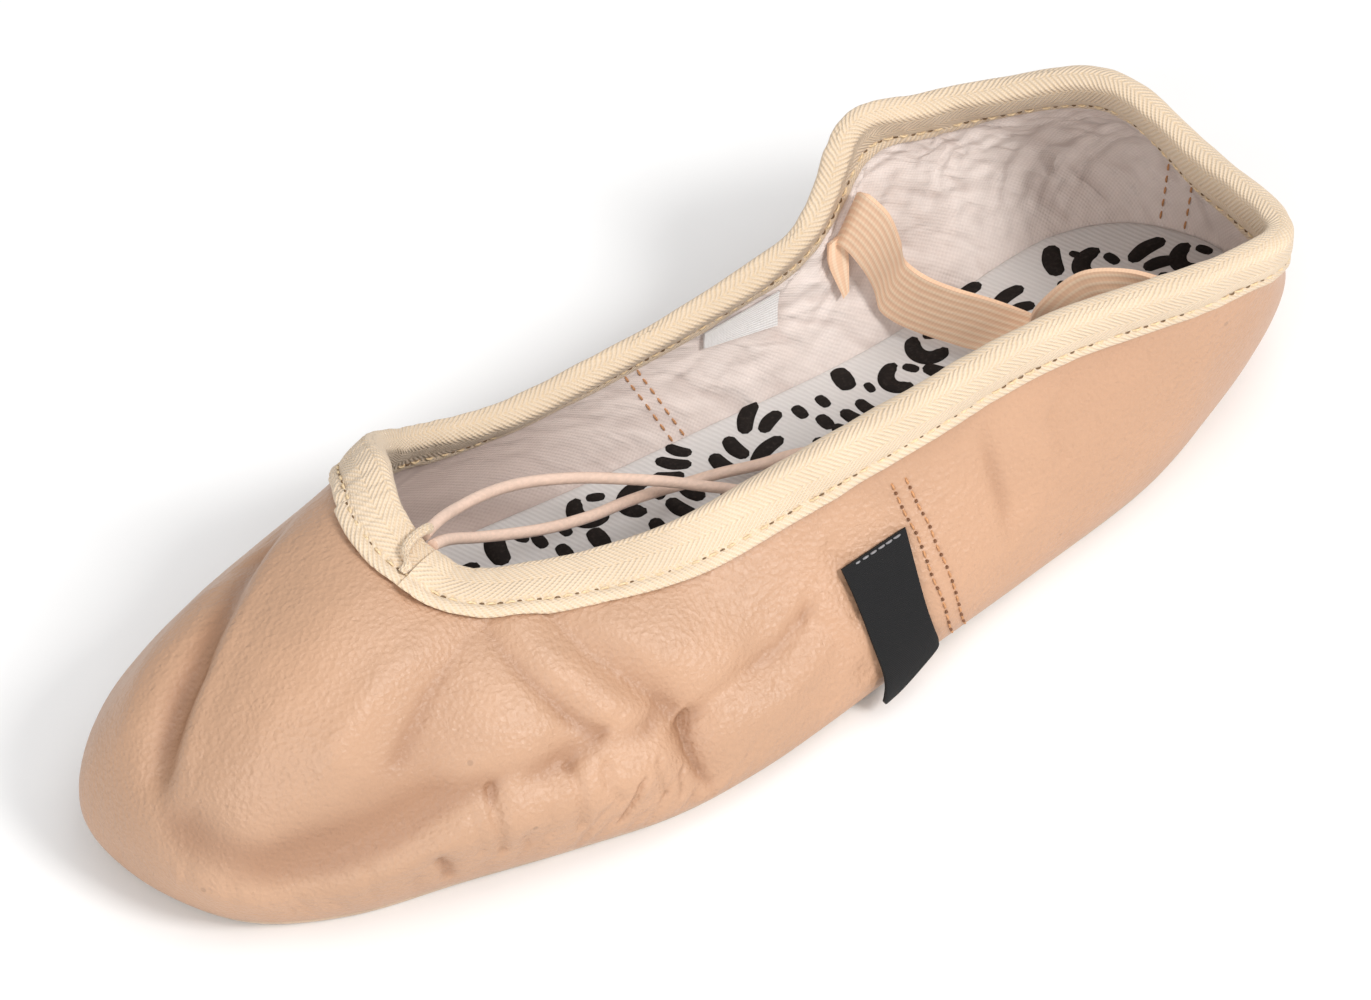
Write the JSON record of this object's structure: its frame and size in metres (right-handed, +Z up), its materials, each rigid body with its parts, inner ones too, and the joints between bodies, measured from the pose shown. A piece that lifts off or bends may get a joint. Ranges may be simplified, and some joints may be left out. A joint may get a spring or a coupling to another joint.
{
  "type": "ballet slipper",
  "caption": "Soft full-sole leather ballet slipper, left foot, with taped collar, drawstring ends at the throat and an elastic strap across the inside of the heel.",
  "frame": {"origin": "under the middle of the shoe's box, on the floor", "axes": "+X from toe to heel along the shoe, +Y towards the inner side of the left foot, +Z up from the floor"},
  "size_m": [0.2168, 0.085, 0.0511],
  "materials": {
    "leather": "smooth soft flesh-pink leather",
    "suede": "brushed suede",
    "twill": null,
    "cotton_tape": "cream herringbone cotton tape",
    "elastic": "ribbed woven elastic",
    "woven_black": "black woven ribbon, bare",
    "woven_white": "white woven ribbon, bare",
    "cord_cover": "braided round elastic cord"
  },
  "bodies": {
    "root": {"upper": "leather", "outsole": "suede", "insole": "twill", "collar_binding": "cotton_tape", "throat_tab": "cotton_tape", "elastic_strap": "elastic", "side_label": "woven_black", "care_label": "woven_white", "drawstring_upper_end": "cord_cover", "drawstring_lower_end": "cord_cover"}
  },
  "joints": []
}
